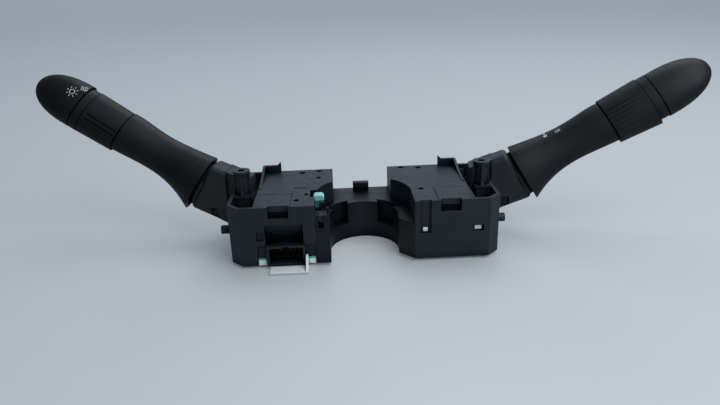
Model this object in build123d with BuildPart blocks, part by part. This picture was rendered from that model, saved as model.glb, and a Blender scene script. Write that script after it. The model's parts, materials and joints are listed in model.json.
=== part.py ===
from build123d import *
from math import cos, radians, sin, sqrt
import os

# Combination stalk switch of a steering column: a C-shaped column bracket carries a lighting
# unit on the left and a wiper unit on the right, each with a stalk that ends in a turning ring
# and a turning knob. Millimetres. X runs to the right, Y to the rear of the bracket, Z up.
# The origin is on the axis of the steering column, on the surface that the switch lies on.

RIGHT, LEFT = 1, -1

# ---- housings ----
RIM = 1.9                  # lower edge of the housing walls
LEDGE = 25.3               # top of the bracket, where the housings step over it
TOP = 39.8
WALL = 2.2
ROOF = TOP - 2.5           # underside of the top plate
FRONT, BACK = -19.9, 50.6
INNER = 30.4               # housing wall that lies against the bracket
OVERHANG = 19.2            # inner edge of the part that steps over the bracket
UPPER_R = 30.2             # cut-out round the column, above the ledge
CORNER_X = 75.9            # end of the front face, where the outer chamfer starts
OUTER = 83.2
CHAMFER_Y = -12.9
BACK_CHAMFER = 4.0
PLATE_EDGE = 67.0          # the top plate ends here, the recess lies beyond it
RECESS_FLOOR, RECESS_REAR = 27.0, 8.4
DOOR_FRONT, DOOR_REAR, DOOR_SILL = 11.8, 46.4, 4.6   # opening where the stalk comes out
POSTS = {
    RIGHT: ((50.0, -1.5), (64.3, -8.0), (55.0, 45.6), (70.0, 46.4)),
    LEFT: ((-50.0, -1.5), (-64.3, -8.0), (-37.4, 43.6), (-58.0, 45.2)),
}
POST_R = 2.8
SCREW_R, SCREW_HEAD_R, SCREW_HEAD_TOP = 1.3, 2.7, 1.8
LUG_FRONT, LUG_REAR, LUG_TOP = 47.0, 49.0, 44.9

# ---- screw towers ----
TOWER_X, TOWER_Y, TOWER_R, TOWER_TOP = 75.2, 6.0, 5.3, 55.6
TOWER_CORE_R, TOWER_HOLE_R, TOWER_HOLE_DEPTH = 3.7, 2.2, 20.0

# ---- column bracket ----
COLUMN_R = 22.0
BRIDGE_BACK = 50.0
BAND_TOP = 11.0            # low band of the bore, the wall above it is set back
RELIEF_R = 26.5
BLOCK_HALF = 9.9           # block in the middle of the bridge that keeps the full bore
LEG_INNER = 21.5
LEG_TOP = 33.4

# ---- contact base, board and connectors ----
BASE_TOP = 3.2
BOARD_BOTTOM, BOARD_TOP = 5.2, 6.4
PLUG_X = {LEFT: (-60.6, -37.0), RIGHT: (33.2, 51.0)}     # the right one faces the rear
PLUG_DEPTH = {LEFT: 14.0, RIGHT: 9.4}
PLUG_TOP, PLUG_WALL, SOCKET_FLOOR = 15.0, 1.5, 2.4
TRAY_FRONT = -30.3
PIN_COLUMNS = {LEFT: 8, RIGHT: 6}
PIN_ROWS, PIN_PITCH, PIN_HALF = 2, 2.2, 0.3
WING_X = ((-66.0, -60.8), (-36.1, -30.8))     # recessed fields beside the left connector
WING_INNER = -33.0

# ---- stalks ----
PIVOT = {RIGHT: (58.05, 30.78), LEFT: (-58.19, 18.82)}
SWEEP = {RIGHT: -7.48, LEFT: -14.28}    # turn of the stalk about its pivot, degrees
RISE = 31.9                # stalk axis above the horizontal, degrees
ROOT_REACH = 50.1          # from the pivot to the root of the handle, along the ground
ROOT_Z = 39.9
DIP_Z = 22.0               # height of the pin that the stalk dips about
TRUNNION_R = 4.0
RUNNING = 0.06             # radial clearance of a running fit
GAP = 0.3                  # between pieces that turn against each other
ARM_HALF, NECK_HALF = 7.2, 9.0
NECK_OUTLINE = ((38.0, 55.0), (28.6, 51.2), (28.6, 13.0), (38.5, 17.8), (57.0, 25.4))
NECK_ROUND, NECK_CORNER = 4.5, 3.0
POCKET = (36.2, 41.0, 19.8, 26.0)      # limits along the stalk and upwards
NOSE_R, NOSE_END = 4.6, -15.0
PLUNGER_R, PLUNGER_TIP = 2.4, -18.7
CAM_R = 18.9
PEG_REACH, PEG_R = 14.5, 1.5

RING_START, COLLAR_START, KNOB_START = 62.1, 88.2, 94.2
TIP = {LEFT: 126.6, RIGHT: 127.8}
TUBE_R, TUBE_BORE, SHAFT_R = 4.6, 2.9, 2.7
FLATNESS = 0.57            # half-depth of the oval over its long half-axis
LEAN, ROOT_LEAN = 36.0, 22.0     # long axis of the oval away from upright, degrees
SKIN = 2.3

# distance from the root, long half-axis, shift towards the top, half-depth, lean
HANDLE_SECTIONS = (
    (0.0, 19.6, 0.2, 12.4, ROOT_LEAN),
    (8.0, 16.9, 1.5, 11.0, 26.0),
    (18.0, 14.5, 2.4, 9.2, 32.0),
    (30.0, 13.1, 2.6, 7.9, LEAN),
    (46.0, 13.4, 2.4, 7.7, LEAN),
    (RING_START - GAP, 14.2, 1.9, 8.2, LEAN),
)
# long half-axis and shift at both ends of the ring, of the collar and of the knob
RING_ENDS = {LEFT: ((14.6, 1.2), (15.2, 0.6)), RIGHT: ((15.7, 1.5), (16.9, 0.6))}
COLLAR = {LEFT: (15.0, 0.3), RIGHT: (15.4, 1.4)}
KNOB = {LEFT: (15.7, 0.9, -1.2), RIGHT: (15.6, 1.0, 0.6)}    # the last value slants the tip
KNOB_BLUNTNESS = 2.6
REST_TURN, REST_TILT, REST_DEPTH = 120, 6.9, 10.7
KNOB_STATIONS = (0.0, 0.25, 0.45, 0.62, 0.76, 0.87, 0.94, 0.985)
# places of the grip ribs and grooves along the long axis of the ring
GRIP_RIBS = (-10.5, -7.7, -4.9, -2.1, 0.7, 3.5, 6.3)
GRIP_GROOVES = (-5.6, -2.2)

os.makedirs("parts", exist_ok=True)


def save(builder, name):
    builder.part.label = name
    export_step(builder.part, f"parts/{name}.step")


def block(x0, x1, y0, y1, z0, z1, mode=Mode.ADD, plane=Plane.XY):
    """A rectangular pad or cut between the given limits."""
    with BuildSketch(plane.offset(z0)) as profile:
        with Locations(((x0 + x1) / 2, (y0 + y1) / 2)):
            Rectangle(abs(x1 - x0), abs(y1 - y0))
    extrude(profile.sketch, amount=z1 - z0, mode=mode)


def disc(x, y, radius, z0, z1, mode=Mode.ADD, plane=Plane.XY):
    """A round boss or bore along the normal of the plane."""
    with BuildSketch(plane.offset(z0)) as profile:
        with Locations((x, y)):
            Circle(radius)
    extrude(profile.sketch, amount=z1 - z0, mode=mode)


def plate(points, start, thickness, plane, mode=Mode.ADD):
    """A plate or cut with straight edges, drawn on the plane and thick along its normal."""
    with BuildSketch(plane.offset(start)) as profile:
        with BuildLine():
            Polyline(*points, close=True)
        make_face()
    extrude(profile.sketch, amount=thickness, mode=mode)


# ------------------------------------------------------------ planes of a stalk
def ground(side):
    """Horizontal direction in which the stalk points."""
    sweep = radians(SWEEP[side])
    return Vector(cos(sweep), sin(sweep), 0) * side


def level(side):
    """Horizontal direction across the stalk, to the front."""
    return ground(side).cross(Vector(0, 0, 1)) * side


def pivot_plane(side, height=0.0):
    """Level plane at the pivot, x along the stalk."""
    x, y = PIVOT[side]
    return Plane(origin=(x, y, height), x_dir=ground(side), z_dir=(0, 0, 1))


def upright_plane(side):
    """Upright plane through the stalk: x outwards, y up, origin below the pivot."""
    x, y = PIVOT[side]
    return Plane(origin=(x, y, 0), x_dir=ground(side), z_dir=level(side) * side)


def section_plane(side, along=0.0, lean=LEAN):
    """Plane across the stalk, x along the long axis of the oval, whose top leans to the rear."""
    x, y = PIVOT[side]
    axis = ground(side) * cos(radians(RISE)) + Vector(0, 0, sin(radians(RISE)))
    up = Vector(0, 0, cos(radians(RISE))) - ground(side) * sin(radians(RISE))
    long_axis = up * cos(radians(lean)) - level(side) * sin(radians(lean))
    root = Vector(x, y, ROOT_Z) + ground(side) * ROOT_REACH
    return Plane(origin=root + axis * along, x_dir=long_axis, z_dir=axis)


def oval(side, along, half_long, shift, half_short, lean=LEAN):
    """One oval cross-section of a stalk."""
    with BuildSketch(section_plane(side, along, lean)) as section:
        with Locations((shift, 0)):
            Ellipse(half_long, half_short)
    return section.sketch.face()


def stalk_disc(side, radius, start, end, mode=Mode.ADD):
    """A round piece or bore along the axis of the stalk."""
    disc(0, 0, radius, start, end, mode, section_plane(side))


# ------------------------------------------------------------ column bracket
def column_bracket():
    mouth_y = -sqrt(COLUMN_R**2 - LEG_INNER**2)
    with BuildPart() as bracket:
        with BuildSketch(Plane.XY.offset(RIM)):
            with BuildLine():
                Polyline(
                    (LEG_INNER, mouth_y), (LEG_INNER, -10.3), (INNER, FRONT),
                    (INNER, BRIDGE_BACK), (-INNER, BRIDGE_BACK), (-INNER, FRONT),
                    (-LEG_INNER, FRONT), (-LEG_INNER, mouth_y),
                )
                ThreePointArc((-LEG_INNER, mouth_y), (0, COLUMN_R), (LEG_INNER, mouth_y))
            make_face()
        extrude(amount=LEDGE - RIM)
        # the wall above the low band is set back on both sides of the middle block
        with BuildSketch(Plane.XY.offset(BAND_TOP)):
            Circle(RELIEF_R)
            Rectangle(2 * BLOCK_HALF, 2 * BACK, mode=Mode.SUBTRACT)
            with Locations((0, -30)):
                Rectangle(120, 80, mode=Mode.SUBTRACT)
        extrude(amount=LEDGE - BAND_TOP, mode=Mode.SUBTRACT)
        # locating lip below, round the rear half of the bore
        with BuildSketch():
            Circle(COLUMN_R + 3)
            Circle(COLUMN_R, mode=Mode.SUBTRACT)
            with Locations((0, -32)):
                Rectangle(120, 60, mode=Mode.SUBTRACT)
        extrude(amount=RIM)
        # release tab with an undercut lip
        block(-5.4, 5.4, 42.6, 45.2, LEDGE, 32.0)
        block(-5.4, 5.4, 41.0, 42.6, 28.6, 32.0)
        # tall front wall of the left leg, slotted for the latch of the lighting unit
        block(-29.9, -LEG_INNER, FRONT, -13.6, LEDGE, LEG_TOP)
        block(-28.5, -24.8, FRONT - 1, -13, 25.0, LEG_TOP + 1, Mode.SUBTRACT)
        block(-22.9, -LEG_INNER, -16.4, -15.0, LEG_TOP, LEG_TOP + 3.2)
        # ribs under the bridge
        for x in (-15.0, -5.0, 5.0, 15.0):
            block(x - 3.6, x + 3.6, 30.0, 47.0, RIM, 12.0, Mode.SUBTRACT)
    return bracket


# ------------------------------------------------------------ housings
def lower_outline(side, height, inset=0.0):
    """Level outline of a housing below the ledge."""
    with BuildSketch(Plane.XY.offset(height)) as outline:
        with BuildLine():
            Polyline(
                (side * INNER, FRONT), (side * CORNER_X, FRONT), (side * OUTER, CHAMFER_Y),
                (side * OUTER, BACK - BACK_CHAMFER), (side * (OUTER - BACK_CHAMFER), BACK),
                (side * INNER, BACK), close=True,
            )
        make_face()
        if inset:
            offset(amount=-inset, kind=Kind.INTERSECTION, mode=Mode.REPLACE)
    return outline.sketch


def upper_outline(side, height, inset=0.0):
    """Level outline above the ledge, with the arc round the column."""
    arc_y = sqrt(UPPER_R**2 - OVERHANG**2)
    bend = UPPER_R * cos(radians(25)), UPPER_R * sin(radians(25))
    with BuildSketch(Plane.XY.offset(height)) as outline:
        with BuildLine():
            Polyline(
                (side * UPPER_R, 0), (side * UPPER_R, FRONT), (side * CORNER_X, FRONT),
                (side * OUTER, CHAMFER_Y), (side * OUTER, BACK - BACK_CHAMFER),
                (side * (OUTER - BACK_CHAMFER), BACK), (side * OVERHANG, BACK),
                (side * OVERHANG, arc_y),
            )
            ThreePointArc((side * OVERHANG, arc_y), (side * bend[0], bend[1]), (side * UPPER_R, 0))
        make_face()
        if inset:
            offset(amount=-inset, kind=Kind.INTERSECTION, mode=Mode.REPLACE)
    return outline.sketch


def recess_points(side, rear):
    """Outline of the recess between the top plate and the outer wall."""
    inside = FRONT + WALL
    return (
        (side * PLATE_EDGE, inside), (side * (CORNER_X - 0.9), inside),
        (side * (OUTER - WALL), CHAMFER_Y + 0.9), (side * (OUTER - WALL), rear),
        (side * PLATE_EDGE, rear),
    )


def shell(side):
    """Walls and top plate, open below, with the recess and the door for the stalk."""
    extrude(lower_outline(side, RIM), amount=LEDGE - RIM)
    extrude(upper_outline(side, LEDGE), amount=TOP - LEDGE)
    extrude(lower_outline(side, RIM, WALL), amount=LEDGE - RIM, mode=Mode.SUBTRACT)
    extrude(upper_outline(side, LEDGE, WALL), amount=ROOF - LEDGE, mode=Mode.SUBTRACT)
    plate(recess_points(side, BACK - WALL), ROOF, TOP - ROOF, Plane.XY, Mode.SUBTRACT)
    plate(recess_points(side, RECESS_REAR), RECESS_FLOOR - 2, 2, Plane.XY)
    block(side * (PLATE_EDGE - 1.6), side * PLATE_EDGE, FRONT + WALL, RECESS_REAR,
          RECESS_FLOOR - 2, ROOF)
    block(side * (OUTER - WALL - 0.5), side * (OUTER + 1), DOOR_FRONT, DOOR_REAR,
          DOOR_SILL, TOP + 1, Mode.SUBTRACT)


def tower(side):
    """Hollow post that takes a screw of the column cover, on a ribbed foot."""
    block(side * 71.6, side * (OUTER - WALL), 0.6, 11.3, RECESS_FLOOR - 2, 38.6)
    block(side * 70.6, side * (OUTER - WALL), 0.2, 11.6, 38.6, 40.5)
    x, y = side * TOWER_X, TOWER_Y
    disc(x, y, TOWER_CORE_R, 40.5, TOWER_TOP)
    disc(x, y, TOWER_R, TOWER_TOP - 1.6, TOWER_TOP)
    for half_x, half_y in ((TOWER_R - 0.3, 0.7), (0.7, TOWER_R - 0.3)):
        block(x - half_x, x + half_x, y - half_y, y + half_y, 40.5, TOWER_TOP - 1.6)
    for rib_x in (70.7, 81.2):
        corner = side * rib_x
        face = side * (TOWER_X + (TOWER_R - 1) * (1 if rib_x > TOWER_X else -1))
        plate(((corner, 40.5), (face, 40.5), (face, 47.5)), -TOWER_Y - 0.8, 1.6, Plane.XZ)
    plate(((0.3, 40.5), (2.0, 40.5), (2.0, 46.5)), side * TOWER_X - 0.8, 1.6, Plane.YZ)
    disc(x, y, TOWER_HOLE_R, TOWER_TOP - TOWER_HOLE_DEPTH, TOWER_TOP, Mode.SUBTRACT)


def lug(side):
    """Upright stop near the rear edge, with a pointed corner and a curved side rib."""
    x0, x1 = side * 54.6, side * 66.9
    block(x0, x1, LUG_FRONT, LUG_REAR, ROOF, LUG_TOP)
    plate(((x0, LUG_TOP), (side * 57.0, LUG_TOP), (x0, LUG_TOP + 2.4)), -LUG_REAR,
          LUG_REAR - LUG_FRONT, Plane.XZ)
    with BuildSketch(Plane.YZ.offset(side * 65.3)) as rib:
        with BuildLine():
            ThreePointArc((14.0, 40.3), (31.0, 41.5), (43.6, LUG_TOP))
            Polyline((43.6, LUG_TOP), (LUG_REAR, LUG_TOP), (LUG_REAR, ROOF), (14.0, ROOF), (14.0, 40.3))
        make_face()
    extrude(rib.sketch, amount=side * 1.6)


def posts(side):
    """Screw posts inside, and the bearing of the rotor under the top plate."""
    for post in POSTS[side]:
        disc(*post, POST_R, BASE_TOP, ROOF)
        disc(*post, SCREW_R, BASE_TOP, 15.0, Mode.SUBTRACT)
    x, y = PIVOT[side]
    disc(x, y, 6.2, 35.5, ROOF)
    disc(x, y, TRUNNION_R + RUNNING, 35.5, 38.4, Mode.SUBTRACT)


def front_tongue(side):
    """Notch in the upper front edge: a set-back tongue over a deeper slot."""
    block(side * 44.6, side * 59.5, FRONT + WALL, FRONT + 6, 31.0, ROOF)
    block(side * 45.8, side * 58.3, FRONT - 1, FRONT + 2.6, 36.0, TOP + 1, Mode.SUBTRACT)
    block(side * 45.8, side * 58.3, FRONT - 1, FRONT + 4.4, 32.4, 36.0, Mode.SUBTRACT)


def top_marks(side):
    """Groove round the rectangular field of the top face."""
    block(side * 44.4, side * PLATE_EDGE, 2.8, 3.3, TOP - 0.4, TOP, Mode.SUBTRACT)
    block(side * 44.4, side * 44.9, FRONT, 3.3, TOP - 0.4, TOP, Mode.SUBTRACT)


def outer_boss(side):
    """Short hollow peg on the outer wall."""
    plane = Plane.YZ
    disc(2.6, 17.6, 2.8, side * OUTER, side * (OUTER + 7.7), Mode.ADD, plane)
    disc(2.6, 17.6, 1.4, side * (OUTER + 1), side * (OUTER + 7.7), Mode.SUBTRACT, plane)


def recess_ribs(side):
    """Upright ribs on the inside of the outer wall."""
    for y in (-9.0, -5.6):
        block(side * 79.6, side * (OUTER - WALL), y, y + 1.0, RECESS_FLOOR, 37.0)


def housing(side):
    shell(side)
    tower(side)
    lug(side)
    posts(side)
    front_tongue(side)
    top_marks(side)
    outer_boss(side)
    recess_ribs(side)


def lighting_housing():
    with BuildPart() as body:
        housing(LEFT)
        # hood over the connector: a sloping pocket that deepens downwards
        plate(((FRONT + 1, 29.5), (FRONT + 9.6, 15.4), (FRONT + 1, 15.4)), -61.0 - 1.2, 25.6, Plane.YZ)
        plate(((FRONT - 1, 28.4), (FRONT, 28.4), (FRONT + 7.6, 15.4), (FRONT - 1, 15.4)), -61.0, 23.2,
              Plane.YZ, Mode.SUBTRACT)
        # mouth for the connector and its side wings
        block(-66.2, -INNER - 0.2, FRONT - 1, FRONT + WALL + 0.1, RIM, PLUG_TOP, Mode.SUBTRACT)
        # catch window
        block(-66.2, -61.9, FRONT - 1, FRONT + 1.2, 18.2, 24.1, Mode.SUBTRACT)
        # holes and slots of the top face
        for x, y, radius in ((-40.0, 44.1, 2.1), (-28.5, 46.7, 2.1), (-28.7, 32.3, 1.8)):
            disc(x, y, radius, ROOF, TOP, Mode.SUBTRACT)
        plate(((-44.1, 14.2), (-35.2, 13.0), (-35.2, 11.6), (-44.1, 12.8)), ROOF, 3, Plane.XY,
              Mode.SUBTRACT)
        disc(-35.6, 0.6, 1.6, TOP - 1.4, TOP, Mode.SUBTRACT)
        disc(-41.3, -9.3, 1.8, TOP - 1.8, TOP, Mode.SUBTRACT)
        # window for the cancelling pawl and the pin that it turns on
        block(-33.2, -UPPER_R + 1, -4.4, 8.2, 31.0, TOP + 1, Mode.SUBTRACT)
        disc(-35.6, 0.6, 1.5, 30.6, ROOF)
        # latch finger in the slot of the bracket's leg
        block(-UPPER_R - 0.1, -25.1, -13.3, -11.2, 27.0, LEG_TOP - 0.4)
        block(-28.2, -25.1, -19.2, -11.2, 29.5, LEG_TOP - 0.4)
    return body


def wiper_housing():
    with BuildPart() as body:
        housing(RIGHT)
        # pockets behind the front face that guide the snap arms of the base
        for x0, x1 in ((35.0, 38.4), (65.8, 72.4)):
            block(x0 - 1, x1 + 1, FRONT + WALL, FRONT + 5.4, 8.0, 25.0)
            block(x0, x1, FRONT + WALL, FRONT + 4.2, 8.0, 23.5, Mode.SUBTRACT)
        # guide channel and catch windows of the front face
        block(33.3, 40.1, FRONT - 1, FRONT + 1.5, 18.8, TOP, Mode.SUBTRACT)
        block(35.0, 38.4, FRONT - 1, FRONT + WALL + 1, 19.0, 22.3, Mode.SUBTRACT)
        block(65.8, 72.4, FRONT - 1, FRONT + WALL + 0.2, 18.8, 22.9, Mode.SUBTRACT)
        # mouth for the connector in the rear wall
        block(*PLUG_X[RIGHT], BACK - WALL - 0.1, BACK + 1, RIM, PLUG_TOP, Mode.SUBTRACT)
        for x, y in ((28.6, 47.2), (40.5, 45.5)):
            disc(x, y, 2.1, ROOF, TOP, Mode.SUBTRACT)
        disc(36.6, 2.1, 1.8, TOP - 1.4, TOP, Mode.SUBTRACT)
    return body


# ------------------------------------------------------------ contact bases and boards
def base(side):
    """Floor plate that closes the housing, with the lower bearing of the rotor."""
    extrude(lower_outline(side, 0.0, WALL + 0.15), amount=BASE_TOP)
    x, y = PIVOT[side]
    disc(x, y, 6.2, BASE_TOP, 9.4)
    for pad_x, pad_y in ((42, 30), (72, 38), (72, 8), (44, 2)):
        block(side * (pad_x - 2), side * (pad_x + 2), pad_y - 2, pad_y + 2, BASE_TOP, BOARD_BOTTOM)
    disc(x, y, TRUNNION_R + RUNNING, 2.0, 9.4, Mode.SUBTRACT)
    for post in POSTS[side]:
        disc(*post, SCREW_R + 0.2, 0, BASE_TOP, Mode.SUBTRACT)
        disc(*post, SCREW_HEAD_R + 0.2, 0, SCREW_HEAD_TOP, Mode.SUBTRACT)


def wings(z0, z1):
    """Two feet beside the left connector that show in its mouth."""
    for x0, x1 in WING_X:
        block(x0, x1, FRONT + 0.6, FRONT + WALL, z0, z1)
        block(x0, min(x1, WING_INNER), FRONT + WALL, FRONT + WALL + 1.8, z0, z1)


def lighting_base():
    x0, x1 = PLUG_X[LEFT]
    with BuildPart() as body:
        base(LEFT)
        # seat and tray of the connector
        block(x0, x1, FRONT + WALL, FRONT + PLUG_DEPTH[LEFT] + 0.4, RIM, BASE_TOP, Mode.SUBTRACT)
        block(x0 + 2.0, x1 + 1.6, TRAY_FRONT, FRONT + WALL + 0.3, 0, 1.7)
        plate(((TRAY_FRONT, 1.7), (FRONT - 0.1, 1.7), (FRONT - 0.1, 8.6), (FRONT - 2.4, 8.6)),
              x1 + 0.2, 1.4, Plane.YZ)
        wings(RIM, BOARD_BOTTOM)
    return body


def wiper_base():
    with BuildPart() as body:
        base(RIGHT)
        block(*PLUG_X[RIGHT], BACK - WALL, BACK - PLUG_DEPTH[RIGHT] - 0.4, RIM, BASE_TOP, Mode.SUBTRACT)
        # snap arms whose catches show in the windows of the front face
        for x0, x1 in ((35.3, 38.1), (67.0, 71.2)):
            block(x0, x1, FRONT + WALL + 0.1, FRONT + WALL + 0.95, BASE_TOP, 22.0)
            block(x0, x1, FRONT + 1.5, FRONT + WALL + 0.3, 19.4, 22.0)
    return body


def board(side):
    """Contact board, cut out round the posts, the rotor bearing and the connector."""
    extrude(lower_outline(side, BOARD_BOTTOM, WALL + 1.0), amount=BOARD_TOP - BOARD_BOTTOM)
    x, y = PIVOT[side]
    disc(x, y, 6.8, BOARD_BOTTOM, BOARD_TOP, Mode.SUBTRACT)
    for post in POSTS[side]:
        disc(*post, POST_R + 0.4, BOARD_BOTTOM, BOARD_TOP, Mode.SUBTRACT)
    face = FRONT if side == LEFT else BACK
    end = face - side * (PLUG_DEPTH[side] + 0.3)
    x0, x1 = PLUG_X[side]
    block(x0 - 0.3, x1 + 0.3, face, end, BOARD_BOTTOM, BOARD_TOP, Mode.SUBTRACT)


def lighting_board():
    with BuildPart() as body:
        board(LEFT)
        wings(BOARD_BOTTOM, BOARD_TOP)
    return body


def wiper_board():
    with BuildPart() as body:
        board(RIGHT)
    return body


def plug_face(side):
    """Where the mouth of a connector lies: the left one stands out, the right one is inside."""
    return FRONT - 1.6 if side == LEFT else BACK - 0.2


def pins(side, mode=Mode.ADD):
    """Two rows of square pins that stand in the floor of the socket."""
    x0, x1 = PLUG_X[side]
    face = plug_face(side)
    start = face - side * (PLUG_DEPTH[side] - 0.6)
    end = face - side * 3.5
    for row in range(PIN_ROWS):
        z = (RIM + PLUG_TOP) / 2 + (row - 0.5) * 4.2
        for column in range(PIN_COLUMNS[side]):
            x = (x0 + x1) / 2 + (column - (PIN_COLUMNS[side] - 1) / 2) * PIN_PITCH
            block(x - PIN_HALF, x + PIN_HALF, start, end, z - PIN_HALF, z + PIN_HALF, mode)


def socket(side):
    """Connector shroud, open at the face, with a key slot above and holes for the pins."""
    x0, x1 = PLUG_X[side]
    face = plug_face(side)
    floor = face - side * (PLUG_DEPTH[side] - SOCKET_FLOOR)
    block(x0, x1, face, face - side * PLUG_DEPTH[side], RIM, PLUG_TOP)
    block(x0 + PLUG_WALL, x1 - PLUG_WALL, face, floor, RIM + PLUG_WALL, PLUG_TOP - PLUG_WALL,
          Mode.SUBTRACT)
    middle = (x0 + x1) / 2
    block(middle - 2, middle + 2, face, floor, PLUG_TOP - PLUG_WALL, PLUG_TOP - 0.6, Mode.SUBTRACT)
    pins(side, Mode.SUBTRACT)


def lighting_connector():
    with BuildPart() as body:
        socket(LEFT)
        x0, x1 = PLUG_X[LEFT]
        block(WING_X[0][0], x0, FRONT + 0.9, FRONT + WALL, BOARD_TOP, PLUG_TOP - 0.4)
        block(x1, WING_X[1][1], FRONT + 0.9, FRONT + WALL, BOARD_TOP, PLUG_TOP - 0.4)
    return body


def wiper_connector():
    with BuildPart() as body:
        socket(RIGHT)
    return body


def connector_pins(side):
    with BuildPart() as body:
        pins(side)
    return body


def housing_screws():
    """Eight screws that hold the bases under the housings."""
    with BuildPart() as screws:
        for side in (LEFT, RIGHT):
            for post in POSTS[side]:
                disc(*post, SCREW_HEAD_R, 0.4, SCREW_HEAD_TOP)
                with BuildSketch(Plane.XY.offset(SCREW_HEAD_TOP)) as shank:
                    with Locations(post):
                        RegularPolygon(SCREW_R, 6)
                extrude(shank.sketch, amount=13.0 - SCREW_HEAD_TOP)
    return screws


# ------------------------------------------------------------ mechanism inside a housing
def rotor(side):
    """Fork that turns between base and top plate and holds the dip pin."""
    at = pivot_plane(side)
    with BuildPart() as fork:
        block(-7, 6.5, -9.4, 9.4, 10.0, 12.0, plane=at)
        block(-7, 6.5, -9.4, 9.4, 33.0, 35.0, plane=at)
        for y in (-9.4, 7.5):
            block(-7, 6.5, y, y + 1.9, 12.0, 33.0, plane=at)
        block(-PEG_REACH - 2.2, -7, -3, 3, 10.0, 12.0, plane=at)
        disc(0, 0, TRUNNION_R, 2.4, 10.0, plane=at)
        disc(0, 0, TRUNNION_R, 35.0, 38.0, plane=at)
        disc(-PEG_REACH, 0, PEG_R, 7.4, 10.0, plane=at)
        across = upright_plane(side)
        disc(0, DIP_Z, 2.0, -9.4, 9.4, Mode.SUBTRACT, across)
    return fork


def dip_pin(side):
    with BuildPart() as pin:
        disc(0, DIP_Z, 2.0, -9.4, 9.4, plane=upright_plane(side))
    return pin


def neck(side):
    """Tall rounded neck between the box and the handle, with a pocket low on each side."""
    across = upright_plane(side)
    with BuildPart() as body:
        plate(NECK_OUTLINE, -NECK_HALF, 2 * NECK_HALF, across)
        # the edges that run along the neck are rounded, then the corner at the handle
        broad = body.faces().filter_by(Axis((0, 0, 0), across.z_dir))
        fillet(broad.edges().filter_by(lambda edge: abs(edge.tangent_at(0.5).Z) < 0.6), NECK_ROUND)
        crosswise = body.edges().filter_by(Axis((0, 0, 0), across.z_dir))
        fillet(crosswise.sort_by(Axis.Z)[-1], NECK_CORNER)
        for start in (-NECK_HALF - 1, NECK_HALF - 2):
            block(*POCKET, start, start + 3, Mode.SUBTRACT, across)
    return body


def lever_arm(side):
    """Arm from the plunger nose through the fork to the tall neck and the handle's spigot."""
    across = upright_plane(side)
    with BuildPart() as arm:
        plate(
            ((30.0, 51.6), (14.5, 45.5), (13.8, 35.5), (10.5, 31.0), (-8.0, 31.0), (-8.0, 13.2),
             (10.5, 13.2), (16.0, 9.0), (30.0, 13.6)),
            -ARM_HALF, 2 * ARM_HALF, across,
        )
        add(neck(side).part)
        nose = Plane(origin=pivot_plane(side, DIP_Z).origin, x_dir=(0, 0, 1), z_dir=ground(side))
        disc(0, 0, NOSE_R, NOSE_END, -8.0, plane=nose)
        loft([oval(side, along, 15.6, 0.8, 9.2, ROOT_LEAN) for along in (-3.5, 2.4)])
        stalk_disc(side, 5.6, -4, 22)
        stalk_disc(side, TUBE_R, 2, 22, Mode.SUBTRACT)
        stalk_disc(side, SHAFT_R + 0.25, -14, 2, Mode.SUBTRACT)
        disc(0, 0, PLUNGER_R + RUNNING, NOSE_END, -8.4, Mode.SUBTRACT, nose)
        disc(0, DIP_Z, 2.0 + RUNNING, -ARM_HALF, ARM_HALF, Mode.SUBTRACT, across)
    return arm


def plunger(side):
    nose = Plane(origin=pivot_plane(side, DIP_Z).origin, x_dir=(0, 0, 1), z_dir=ground(side))
    with BuildPart() as pin:
        disc(0, 0, PLUNGER_R, PLUNGER_TIP, -12.6, plane=nose)
        chamfer(pin.faces().sort_by(Axis(nose.origin, nose.z_dir))[0].edges(), 1.2)
    return pin


def plunger_spring(side):
    """Coil between the bottom of the nose's bore and the plunger."""
    start = pivot_plane(side, DIP_Z).origin + ground(side) * -12.2
    with BuildPart() as spring:
        with BuildLine() as path:
            Helix(pitch=1.1, height=3.3, radius=1.7, center=start, direction=ground(side))
        with BuildSketch(Plane(origin=path.line @ 0, z_dir=path.line % 0)):
            Rectangle(0.5, 0.5)
        sweep(is_frenet=True)
    return spring


def detent_cam(side, span):
    """Block with a hollow face whose shallow grooves hold the plunger at each position."""
    x, y = PIVOT[side]
    towards = pivot_plane(side)
    seat_y = y - ground(side).Y * CAM_R
    with BuildPart() as cam:
        with BuildSketch(Plane.XY.offset(15.0)):
            with Locations((side * 37.0, seat_y + span[0])):
                Rectangle(8.8, span[1])
            with Locations((x, y)):
                Circle(CAM_R, mode=Mode.SUBTRACT)
        extrude(amount=14.0)
        for turn in span[2]:
            angle = radians(180 + turn)
            disc(CAM_R * cos(angle), CAM_R * sin(angle), 0.7, 15.0, 29.0, Mode.SUBTRACT, towards)
    return cam


def contact_slider(side):
    """Carrier of the moving contacts, driven by the peg of the rotor."""
    at = pivot_plane(side)
    with BuildPart() as slider:
        block(-PEG_REACH - 5, -PEG_REACH + 5, -5.5, 5.5, 6.7, 9.4, plane=at)
        block(-PEG_REACH - 2.6, -PEG_REACH + 2.6, -PEG_R - 0.15, PEG_R + 0.15, 6.7, 9.4,
              Mode.SUBTRACT, at)
        for x in (-PEG_REACH - 3.8, -PEG_REACH + 3.8):
            block(x - 0.5, x + 0.5, -4.5, 4.5, BOARD_TOP, 6.7, plane=at)
    return slider


def cancel_pawl():
    """Pawl that the steering shaft kicks to return the turn signal."""
    with BuildPart() as pawl:
        disc(-35.6, 0.6, 3.4, 31.6, 36.4)
        block(-35.6, -28.0, -1.6, 4.2, 31.6, 36.4)
        block(-31.4, -24.6, -1.2, 5.0, 34.6, 39.2)
        chamfer(pawl.faces().sort_by(Axis.Z)[-1].edges().filter_by(Axis.Y), 1.2)
        disc(-35.6, 0.6, 1.5 + RUNNING, 31.6, 36.4, Mode.SUBTRACT)
    return pawl


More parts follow.
